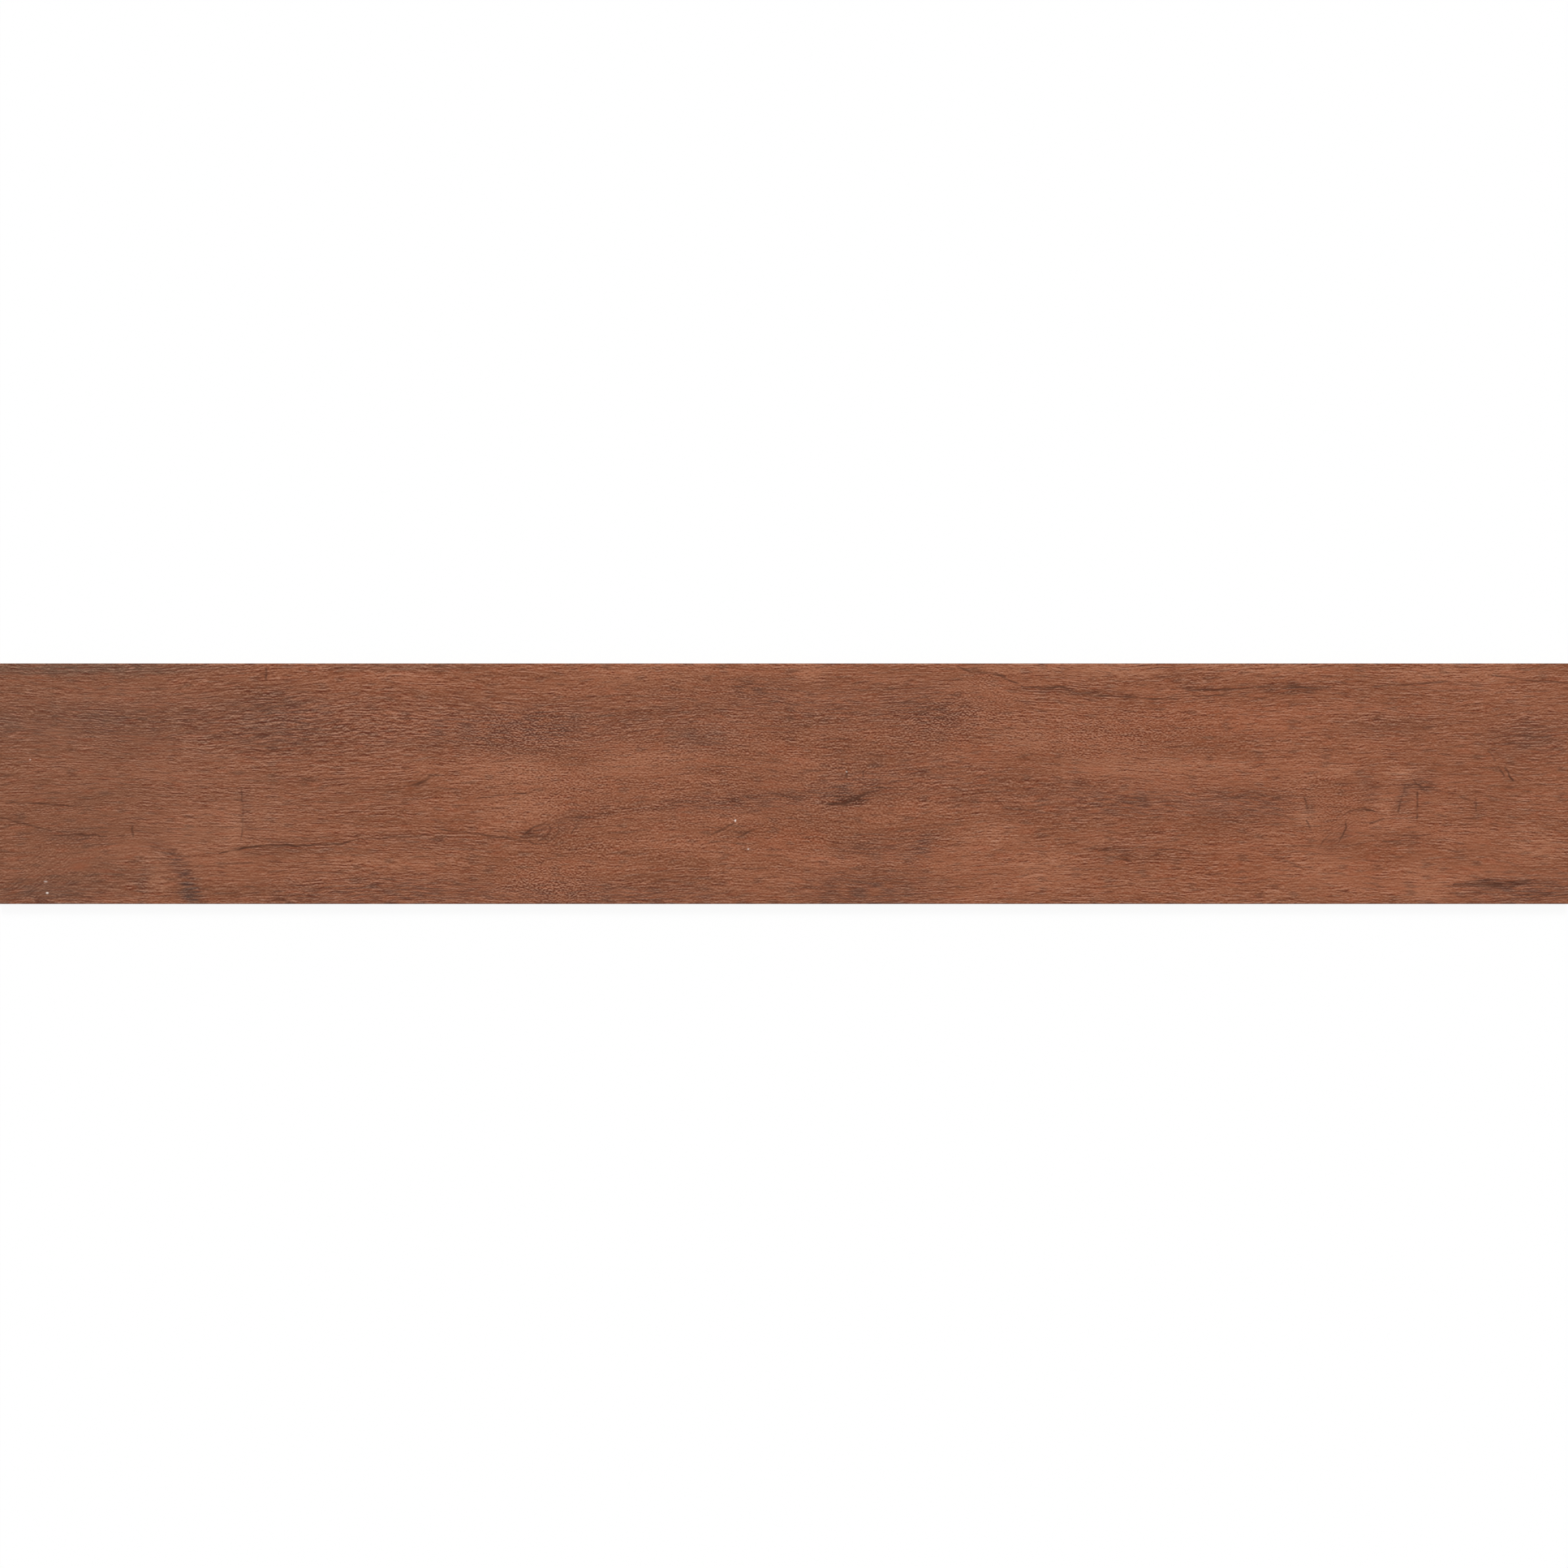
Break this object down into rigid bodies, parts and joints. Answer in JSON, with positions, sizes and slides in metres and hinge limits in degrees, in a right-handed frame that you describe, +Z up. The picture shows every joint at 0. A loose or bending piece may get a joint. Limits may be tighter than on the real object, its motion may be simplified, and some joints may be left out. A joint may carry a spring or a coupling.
{
  "type": "wood look porcelain plank tile",
  "caption": "Long flat rectangular porcelain floor tile with a wood-grain printed face, square ground edges with a fine bevel and a ribbed back that keys into adhesive.",
  "frame": {"origin": "middle of the back, on the plane of the ribs that the tile lies on", "axes": "+X along the plank, +Y across it, +Z up from the ribbed back to the printed face"},
  "size_m": [1.5, 0.23, 0.01],
  "materials": {
    "porcelain": "matt glazed reddish-brown wood-grain print over a fine pressed relief, with bare fired porcelain on the edges and the back"
  },
  "bodies": {
    "root": {"plank_tile": "porcelain"}
  },
  "joints": []
}
